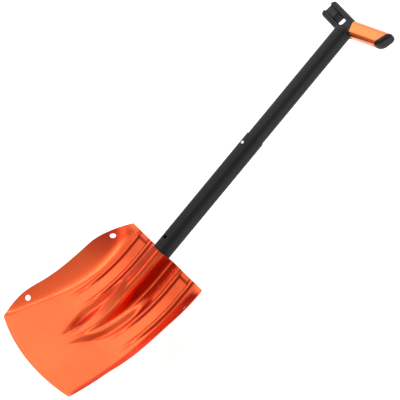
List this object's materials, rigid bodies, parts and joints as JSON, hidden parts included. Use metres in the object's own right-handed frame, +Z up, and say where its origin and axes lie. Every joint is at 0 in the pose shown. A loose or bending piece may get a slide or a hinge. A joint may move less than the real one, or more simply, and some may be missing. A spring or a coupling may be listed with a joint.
{
  "type": "telescoping snow shovel",
  "caption": "Telescoping snow shovel with a pressed scoop blade, two-piece snap-button shaft and an offset T-grip.",
  "frame": {"origin": "middle of the bounding box's footprint, on the surface that the shovel lies on, with the shaft pulled out", "axes": "+X along the shaft from the blade to the grip, +Z up out of the digging side of the blade, +Y to the side of the grip's short arm"},
  "size_m": [0.8282, 0.2796, 0.1099],
  "materials": {
    "orange_anodised": "satin orange anodised",
    "black_anodised": "satin black anodised",
    "black_nylon": "fine moulded texture",
    "steel": "satin"
  },
  "bodies": {
    "blade": {"blade": "orange_anodised", "socket_back_plate": "orange_anodised", "socket_rivets": "orange_anodised"},
    "lower_shaft": {"lower_shaft": "black_anodised", "lower_shaft_plug": "black_nylon", "blade_lock_spring": "steel"},
    "blade_lock_button": {"blade_lock_button": "steel"},
    "upper_shaft": {"upper_shaft": "black_anodised", "upper_shaft_guide": "black_nylon", "telescope_spring": "steel", "grip_body": "black_nylon", "grip_pin": "steel", "grip_sleeve": "orange_anodised", "grip_end_cap": "black_nylon", "grip_screw": "steel"},
    "telescope_button": {"telescope_button": "steel"}
  },
  "joints": [
    {"name": "blade_release", "type": "slide", "parent": "blade", "child": "lower_shaft", "axis": [1, 0, 0], "range_m": [0, 0.085], "deforming": ["blade_lock_button"]},
    {"name": "blade_lock_press", "type": "slide", "parent": "lower_shaft", "child": "blade_lock_button", "axis": [0, 0, 1], "range_m": [0, 0.0044], "stiffness_N_per_m": 1500, "springref_m": -0.002, "deforming": ["blade_lock_spring"]},
    {"name": "telescope", "type": "slide", "parent": "lower_shaft", "child": "upper_shaft", "axis": [-1, 0, 0], "range_m": [0, 0.2136], "deforming": ["telescope_button"]},
    {"name": "telescope_press", "type": "slide", "parent": "upper_shaft", "child": "telescope_button", "axis": [0, 0, -1], "range_m": [0, 0.004], "stiffness_N_per_m": 1500, "springref_m": -0.002, "deforming": ["telescope_spring"]}
  ]
}
